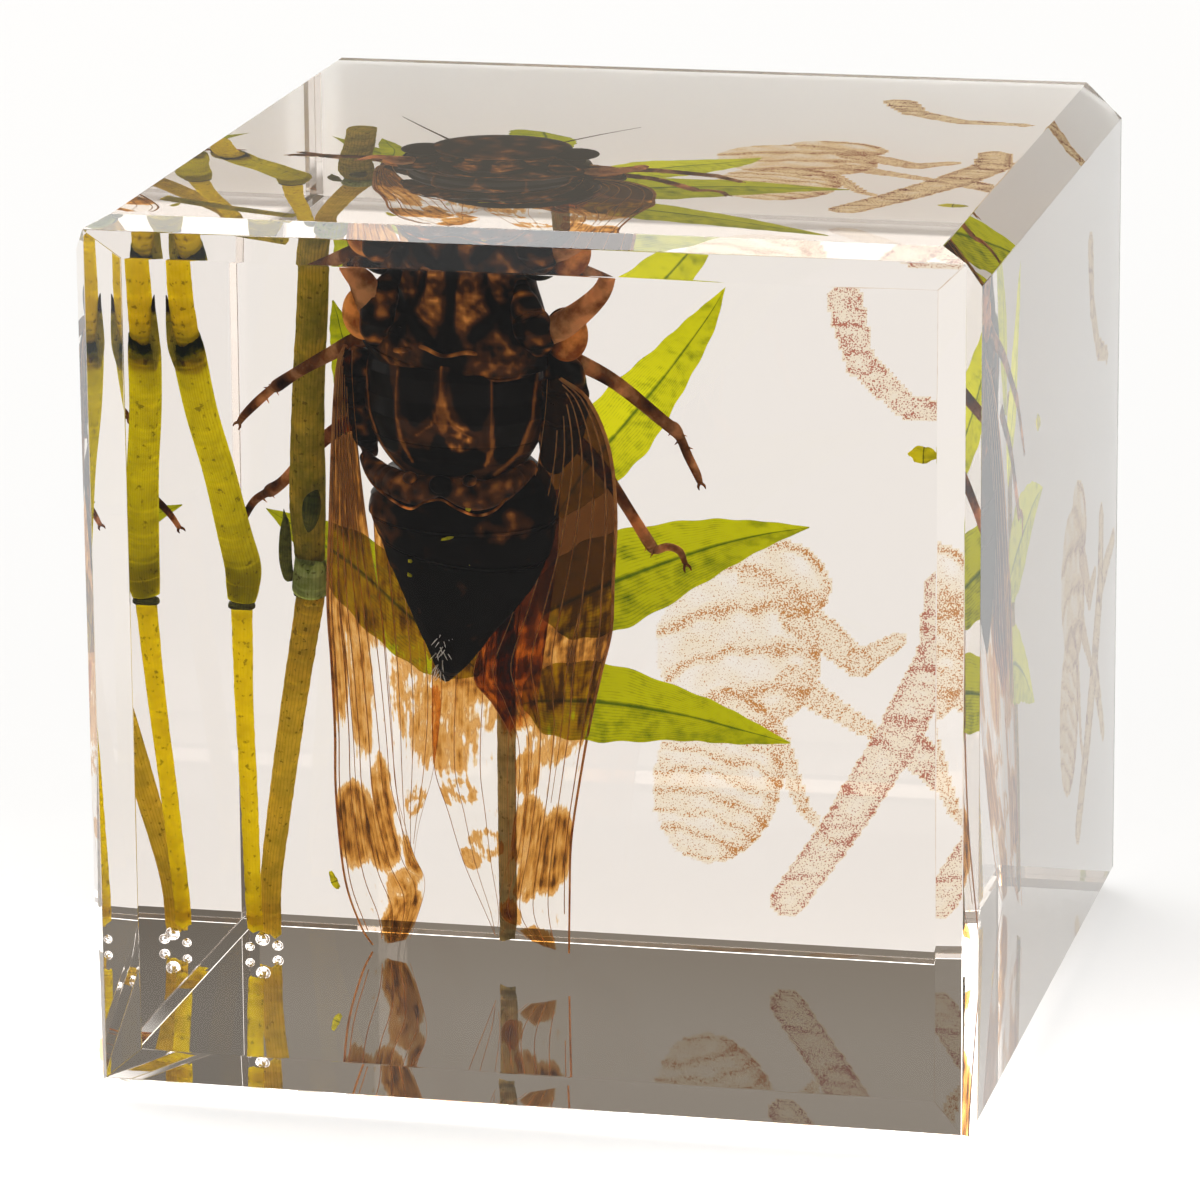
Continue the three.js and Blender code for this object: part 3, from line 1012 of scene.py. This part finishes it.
hair_count = 34
hair_luck = random.Random(7)
hairs = bmesh.new()
for hair in range(hair_count):
    rise = hair_luck.uniform(17.2, 21.4)
    root = Vector((-8.9 + 0.14 * (rise - 17) + hair_luck.uniform(-0.35, 0.35),
                   4.6 + (21.4 - rise) * 0.52, rise))
    lean = Vector((hair_luck.uniform(-0.3, 0.3), -0.25, -0.3 - 0.2 * hair_luck.random()))
    grow_tube(hairs, [Vector((*root, 0.028)), Vector((*(root + lean * 0.6), 0.020)),
                      Vector((*(root + lean), 0.006))], sides=6)
paint(hairs, lambda p: 0.0)
hair_skin, hair_tree, hair_output = new_material("pale hairs")
hair_shader = add_node(hair_tree, "ShaderNodeBsdfPrincipled", {
    "Base Color": (0.62, 0.60, 0.56, 1), "Roughness": 0.4, "IOR": sealed_ior})
hair_tree.links.new(hair_shader.outputs["BSDF"], hair_output.inputs["Surface"])
finish_piece("cicada_tail_hairs", hairs, hair_skin)


# ------------------------------------------------------------------- wings
# Two pairs of wings, thin as film on stiff amber veins: brown towards the body,
# clear with brown clouds towards the tips, half folded along the body.
wing_rails = {
    # leading margin and inner margin, from the root to the tip
    "forewing_left": (
        ((-12.7, 1.2, 35.5), (-13.2, 1.5, 34.3), (-13.7, 2.6, 30.8), (-14.3, 4.6, 25.7), (-15.0, 7.4, 20.9),
         (-15.2, 9.4, 17.1), (-15.4, 11.2, 13.2), (-15.7, 12.9, 9.3), (-15.7, 15.2, 4.3), (-15.1, 16.6, 1.4),
         (-14.6, 17.4, 0.2)),
        ((-12.4, 1.4, 35.2), (-12.5, 1.9, 33.6), (-12.5, 3.0, 30.3), (-12.4, 5.2, 25.2), (-12.2, 7.8, 20.5),
         (-12.2, 9.6, 16.8), (-12.3, 11.3, 13.1), (-12.4, 12.8, 9.8), (-11.9, 14.8, 6.1), (-11.4, 15.8, 4.0),
         (-12.5, 17.2, 0.7))),
    "forewing_right": (
        ((-1.4, 0.6, 34.3), (-0.1, 1.2, 33.2), (0.8, 2.4, 30.5), (0.9, 4.0, 26.9), (0.5, 5.6, 23.1),
         (0.2, 6.8, 20.2), (-0.5, 7.8, 17.7), (-1.2, 8.8, 15.1), (-1.9, 9.9, 12.0), (-2.7, 11.4, 7.9),
         (-3.0, 12.6, 4.3), (-3.2, 13.6, 1.2)),
        ((-2.1, 0.8, 34.2), (-2.4, 1.6, 32.0), (-3.2, 3.2, 28.6), (-4.8, 5.4, 23.9), (-6.3, 7.2, 20.1),
         (-7.4, 8.4, 17.1), (-6.5, 9.0, 15.5), (-5.6, 9.8, 13.4), (-5.6, 10.8, 10.5), (-6.1, 12.0, 7.0),
         (-6.9, 13.2, 3.4), (-5.5, 13.8, 1.8))),
    "hindwing_left": (
        ((-12.0, 4.5, 27.4), (-12.2, 6.5, 23.4), (-12.3, 8.8, 19.2), (-12.4, 10.8, 15.1), (-12.4, 12.2, 11.3),
         (-12.3, 13.2, 8.4), (-12.1, 14.0, 6.3), (-11.9, 14.4, 5.3)),
        ((-9.6, 5.0, 26.9), (-9.3, 7.0, 22.9), (-9.3, 9.0, 18.8), (-9.5, 10.6, 15.3), (-10.2, 12.0, 11.3),
         (-10.9, 13.0, 9.1), (-11.4, 13.7, 7.5), (-11.8, 14.3, 5.4))),
    "hindwing_right": (
        ((-7.7, 5.0, 27.0), (-8.6, 7.0, 22.9), (-9.6, 9.0, 18.8), (-10.0, 10.6, 15.2), (-10.1, 11.6, 11.4),
         (-9.5, 12.4, 8.8), (-8.8, 13.0, 6.0), (-7.8, 13.8, 3.2), (-7.3, 14.2, 1.8)),
        ((-2.1, 4.6, 27.9), (-2.6, 6.4, 23.8), (-3.4, 8.2, 19.8), (-4.2, 9.8, 15.7), (-4.8, 11.0, 11.8),
         (-5.2, 11.8, 9.0), (-5.6, 12.6, 6.3), (-6.1, 13.4, 3.5), (-7.1, 14.2, 1.7))),
}
wing_clouds = {
    # place along and across the wing, half length, half width, and depth of the brown; a negative
    # depth is a clear window in the cloud before it
    "forewing_left": ((0.10, 0.5, 0.24, 1.3, 1.05), (0.36, 0.5, 0.10, 0.9, 0.72),
        (0.47, 0.12, 0.12, 0.20, 0.72), (0.50, 0.52, 0.14, 0.22, 0.62), (0.735, 0.30, 0.055, 0.36, 0.80),
        (0.70, 0.78, 0.07, 0.16, 0.68), (0.77, 0.66, 0.05, 0.24, 0.72), (0.82, 0.97, 0.05, 0.10, 0.75),
        (0.87, 0.72, 0.05, 0.22, 0.62), (0.95, 0.66, 0.07, 0.34, 0.80)),
    "forewing_right": ((0.12, 0.5, 0.30, 1.4, 1.30), (0.47, 0.6, 0.15, 0.9, 0.88),
        (0.50, 0.10, 0.18, 0.14, 0.90), (0.655, 0.45, 0.05, 0.40, 0.50), (0.70, 0.82, 0.04, 0.22, 0.56),
        (0.79, 0.75, 0.05, 0.28, 0.68), (0.83, 0.30, 0.06, 0.34, 0.80), (0.86, 0.62, 0.04, 0.2, 0.66),
        (0.92, 0.86, 0.03, 0.16, 0.6), (0.985, 0.60, 0.035, 0.34, 0.66)),
    "hindwing_left": ((0.10, 0.5, 0.22, 1.3, 0.70), (0.40, 0.45, 0.12, 0.4, 0.46),
        (0.48, 0.85, 0.09, 0.45, 0.52), (0.69, 0.66, 0.06, 0.40, 0.44), (0.70, 0.60, 0.025, 0.18, -0.5)),
    "hindwing_right": ((0.10, 0.5, 0.30, 1.3, 0.80), (0.42, 0.22, 0.10, 0.30, 0.52),
        (0.46, 0.06, 0.05, 0.14, 0.60), (0.56, 0.24, 0.040, 0.20, 0.44), (0.555, 0.27, 0.018, 0.08, -0.6),
        (0.575, 0.05, 0.03, 0.1, 0.5), (0.70, 0.44, 0.042, 0.28, 0.42), (0.695, 0.50, 0.020, 0.12, -0.6),
        (0.74, 0.16, 0.028, 0.2, 0.5)),
}
wing_veins = {
    # across at the root and at the end, place of the root and of the end along the wing, thickness
    "forewing": ((0.0, 0.0, 0.0, 1.0, 0.105), (0.10, 0.07, 0.0, 0.93, 0.05), (0.18, 0.30, 0.02, 0.98, 0.042),
        (0.30, 0.52, 0.05, 0.99, 0.038), (0.42, 0.72, 0.08, 0.99, 0.038), (0.55, 0.88, 0.10, 0.93, 0.034),
        (0.70, 0.98, 0.12, 0.84, 0.034), (0.24, 0.40, 0.40, 0.76, 0.03), (1.0, 1.0, 0.0, 1.0, 0.022)),
    "hindwing": ((0.0, 0.0, 0.0, 1.0, 0.03), (0.25, 0.20, 0.05, 0.97, 0.028), (0.48, 0.50, 0.05, 0.95, 0.028),
        (0.72, 0.80, 0.05, 0.90, 0.028), (1.0, 1.0, 0.0, 1.0, 0.018)),
}
vein_steps = 56
wing_tints = (
    # how dense the brown is, and the colour of the light that it lets through
    (0.24, (0.995, 0.985, 0.96, 1)), (0.34, (0.92, 0.68, 0.36, 1)), (0.42, (0.66, 0.33, 0.090, 1)),
    (0.50, (0.82, 0.47, 0.15, 1)), (0.66, (0.68, 0.33, 0.065, 1)), (0.84, (0.42, 0.165, 0.022, 1)),
    (1.0, (0.13, 0.045, 0.008, 1)),
)


def wing_point(front_rail, back_rail, across, along):
    """A point of the wing between its two margins, cambered between the veins."""
    reach = along * (len(front_rail) - 1)
    index = min(int(reach), len(front_rail) - 2)
    share = reach - index
    front = front_rail[index].lerp(front_rail[index + 1], share)
    back = back_rail[index].lerp(back_rail[index + 1], share)
    crease = 0.05 * math.sin(across * 23 + along * 4)
    return front.lerp(back, across) + Vector((0, -0.45 * math.sin(across * math.pi) + crease, 0))


def wing_material(name):
    """Wing film: clear resin-soaked membrane, tinted where the brown clouds lie."""
    material, tree, output = new_material(name)
    place = uv_place(tree)
    streaks = clouds(tree, vector_maths(tree, "MULTIPLY", place, (24, 6, 1)), 1.0, 4.0, 0.62)
    jagged = clouds(tree, vector_maths(tree, "MULTIPLY", place, (9, 30, 1)), 1.0, 2.0)
    ragged = maths(tree, "SUBTRACT", maths(tree, "ADD", streaks, jagged), 1.0)
    density = maths(tree, "MULTIPLY_ADD", ragged, 1.05, attribute(tree, "cloud"))
    tint = ramp_colour(tree, density, wing_tints)
    film = add_node(tree, "ShaderNodeBsdfTransparent", {"Color": tint})
    body = add_node(tree, "ShaderNodeBsdfPrincipled", {
        "Base Color": (0.05, 0.02, 0.006, 1), "Roughness": 0.35, "IOR": sealed_ior})
    cover = remap(tree, density, (0.75, 1.3), (0.0, 0.2))
    membrane = mix_shader(tree, cover, film.outputs["BSDF"], body.outputs["BSDF"])
    tree.links.new(membrane, output.inputs["Surface"])
    return material


wing_film = wing_material("wing film")
vein_shell = shell_material("wing vein", 0.85, palest=(0.58, 0.34, 0.14, 1))
for wing_name, rails in wing_rails.items():
    front_rail, back_rail = (smooth_path(rail, 8) for rail in rails)
    wing, wing_place = sheet(60, 240, ("cloud",))
    cloud_layer = wing.verts.layers.float["cloud"]
    for vert, (across, along) in wing_place.items():
        vert.co = wing_point(front_rail, back_rail, across, along)
        darkness = 0.0
        for cloud_along, cloud_across, half_along, half_across, strength in wing_clouds[wing_name]:
            reach = math.hypot((along - cloud_along) / half_along, (across - cloud_across) / half_across)
            cover = clamp((1.2 - reach) / 0.4)
            darkness = max(darkness, strength * cover) if strength > 0 else darkness * (1 + strength * cover)
        vert[cloud_layer] = darkness
    finish_piece(wing_name, wing, wing_film, recalc=False)
    veins = bmesh.new()
    for root_across, end_across, root_along, end_along, thickness in wing_veins[wing_name.split("_")[0]]:
        vein_path = []
        for step in range(vein_steps + 1):
            share = step / vein_steps
            along = blend(root_along, end_along, share)
            across = blend(root_across, end_across, share ** 0.8)
            spot = wing_point(front_rail, back_rail, across, along)
            vein_path.append(Vector((*spot, thickness * (1 - 0.5 * share))))
        grow_tube(veins, vein_path, sides=8)
    paint(veins, lambda p: 0.06 + 0.12 * noise.noise(p))
    finish_piece(wing_name + "_veins", veins, vein_shell)


# -------------------------------------------------------------------- legs
# Six jointed legs of thin brown tubes: thick thigh, long spined shin, short foot
# with two hooked claws; and the two bristle feelers of the head.
leg_paths = {
    "leg_front_left": ((-10.6, 0.8, 36.6, 0.55), (-11.0, 0.2, 37.6, 0.80), (-11.5, -0.4, 39.0, 0.72),
        (-12.2, -0.6, 39.7, 0.40), (-12.6, -1.4, 40.8, 0.30), (-12.9, -3.0, 41.6, 0.20)),
    "leg_front_right": ((-2.4, 0.8, 36.2, 0.55), (-1.4, 0.2, 37.0, 0.74), (-0.2, -0.3, 37.9, 0.62),
        (0.9, -0.6, 39.0, 0.50), (1.4, -1.0, 40.2, 0.36), (1.7, -2.4, 41.4, 0.20)),
    "leg_middle_left": ((-10.6, 3.0, 35.4, 0.45), (-12.2, 2.6, 35.6, 0.42), (-14.0, 3.6, 34.6, 0.36),
        (-15.8, 4.6, 33.5, 0.30), (-17.1, 5.3, 32.6, 0.34), (-17.4, 5.5, 32.4, 0.24),
        (-18.4, 6.2, 31.5, 0.25), (-19.2, 6.9, 30.7, 0.21), (-19.5, 7.1, 30.3, 0.16)),
    "leg_middle_right": ((-2.4, 2.6, 35.6, 0.45), (-0.8, 2.6, 34.9, 0.44), (1.0, 3.8, 33.7, 0.38),
        (3.3, 5.0, 31.6, 0.33), (3.8, 5.2, 31.2, 0.36), (4.1, 5.4, 30.7, 0.25), (4.4, 5.8, 29.8, 0.24),
        (4.8, 6.2, 28.8, 0.22), (4.95, 6.4, 28.3, 0.16)),
    "leg_hind_left": ((-11.6, 5.6, 30.8, 0.42), (-13.7, 6.4, 30.5, 0.40), (-15.8, 8.2, 28.8, 0.34),
        (-17.7, 10.0, 26.8, 0.30), (-18.6, 10.9, 26.1, 0.35), (-18.9, 11.2, 25.9, 0.24),
        (-19.7, 12.0, 25.3, 0.22), (-20.4, 13.0, 24.3, 0.19), (-20.8, 13.8, 23.4, 0.14)),
    "leg_hind_right": ((-1.6, 5.2, 30.6, 0.42), (-0.4, 5.9, 29.2, 0.38), (0.3, 6.6, 28.0, 0.33),
        (1.3, 7.0, 26.3, 0.30), (2.2, 7.2, 24.8, 0.32), (2.5, 7.2, 24.5, 0.24), (3.2, 7.1, 24.7, 0.20),
        (3.8, 7.0, 24.5, 0.19), (4.1, 6.9, 23.9, 0.14)),
}
feeler_paths = {
    "feeler_left": ((-9.6, 2.4, 42.3, 0.09), (-11.4, 4.6, 42.9, 0.06), (-13.4, 7.4, 43.1, 0.03)),
    "feeler_right": ((-3.8, 2.4, 42.3, 0.09), (-2.2, 4.4, 42.9, 0.06), (-0.4, 6.8, 43.1, 0.03)),
}
leg_shell = shell_material("leg shell", 0.75, palest=(0.85, 0.48, 0.20, 1))
for leg_name, leg_points in leg_paths.items():
    leg = bmesh.new()
    leg_path = smooth_path(leg_points, 8)
    grow_tube(leg, leg_path, sides=18)
    foot = leg_path[-1].xyz
    forward = (foot - leg_path[-6].xyz).normalized()
    sideways = forward.cross(Vector((0, 1, 0))).normalized()
    for turn in (-1, 1):
        grow_tube(leg, smooth_path([(*foot, 0.09), (*(foot + forward * 0.24 + sideways * 0.16 * turn), 0.07),
                                    (*(foot + forward * 0.46 + sideways * 0.17 * turn), 0.02)], 4), sides=10)
    for spine_index in range(4):
        knee = leg_path[len(leg_path) // 2 + spine_index * 4]
        spine_end = knee.xyz + forward * 0.28 + sideways * (0.42 if spine_index % 2 else -0.42)
        grow_tube(leg, [Vector((*knee.xyz, 0.07)), Vector((*knee.xyz.lerp(spine_end, 0.6), 0.05)),
                        Vector((*spine_end, 0.012))], sides=8)
    pale = -0.14 if "front" in leg_name else 0.0
    paint(leg, lambda p: 0.26 + pale + 0.4 * noise.noise(p * 0.9))
    finish_piece(leg_name, leg, leg_shell)
for feeler_name, feeler_points in feeler_paths.items():
    feeler = tube(feeler_points, 10, 10)
    paint(feeler, lambda p: 0.6)
    finish_piece(feeler_name, feeler, leg_shell)


# -------------------------------------------------------- bubbles and debris
# Air trapped under the cut stems when the resin was poured, and crumbs of leaf
# that floated free and were sealed where they came to rest.
bubbles = {
    "bubble_one": (-20.0, 13.6, 0.95, 0.40),
    "bubble_two": (-20.75, 13.8, 0.45, 0.26),
    "bubble_three": (-19.35, 14.6, 0.42, 0.30),
}
bubble_material, bubble_tree, bubble_output = new_material("air bubble")
bubble_shader = add_node(bubble_tree, "ShaderNodeBsdfPrincipled", {
    "Base Color": (1, 1, 1, 1), "Roughness": 0.0, "IOR": air_in_resin_ior, "Transmission Weight": 1.0})
bubble_tree.links.new(bubble_shader.outputs["BSDF"], bubble_output.inputs["Surface"])
for bubble_name, (x, y, z, radius) in bubbles.items():
    bubble = dome(Vector((x, y, z)), Vector((radius, radius, radius * 0.9)), 16, 24)
    finish_piece(bubble_name, bubble, bubble_material)

crumb_leaf = leaf_material("leaf crumb", (0.10, 0.12, 0.01, 1), (0.75, 0.70, 0.05, 1))
crumbs = {
    # place, length, width, thickness, turn about Y in degrees
    "crumb_beside_wing": ((-16.4, 16.0, 3.9), 1.1, 0.36, 0.2, 68),
    "crumb_near_right_edge": ((17.3, 0.0, 31.3), 1.35, 0.8, 0.4, 3),
    "fleck_on_abdomen_one": ((-7.5, 1.2, 25.6), 0.62, 0.18, 0.1, -14),
    "fleck_on_abdomen_two": ((-6.5, 1.8, 24.4), 0.5, 0.22, 0.1, 70),
    "fleck_on_abdomen_three": ((-9.6, 1.9, 24.2), 0.22, 0.18, 0.1, 0),
    "fleck_on_abdomen_four": ((-9.7, 2.2, 23.4), 0.26, 0.2, 0.1, 30),
    "fleck_on_ridge": ((-6.2, 0.0, 27.4), 0.26, 0.2, 0.1, 10),
}
for crumb_index, (crumb_name, (spot, length, width, thickness, tilt)) in enumerate(crumbs.items()):
    crumb = bmesh.new()
    bmesh.ops.create_icosphere(crumb, subdivisions=3, radius=1)
    crumb_uv = crumb.loops.layers.uv.new("UVMap")
    for face in crumb.faces:
        for loop in face.loops:
            loop[crumb_uv].uv = (loop.vert.co.x * 0.5 + 0.5, loop.vert.co.z * 0.5 + 0.5)
    for vert in crumb.verts:
        vert.co *= 1 + 0.45 * noise.noise(vert.co * 1.7 + Vector((crumb_index * 5.0, 0, 0)))
    bmesh.ops.scale(crumb, vec=(length / 2, thickness / 2, width / 2), verts=crumb.verts)
    bmesh.ops.rotate(crumb, matrix=Matrix.Rotation(math.radians(tilt), 3, "Y"), verts=crumb.verts)
    bmesh.ops.translate(crumb, vec=spot, verts=crumb.verts)
    finish_piece(crumb_name, crumb, crumb_leaf)
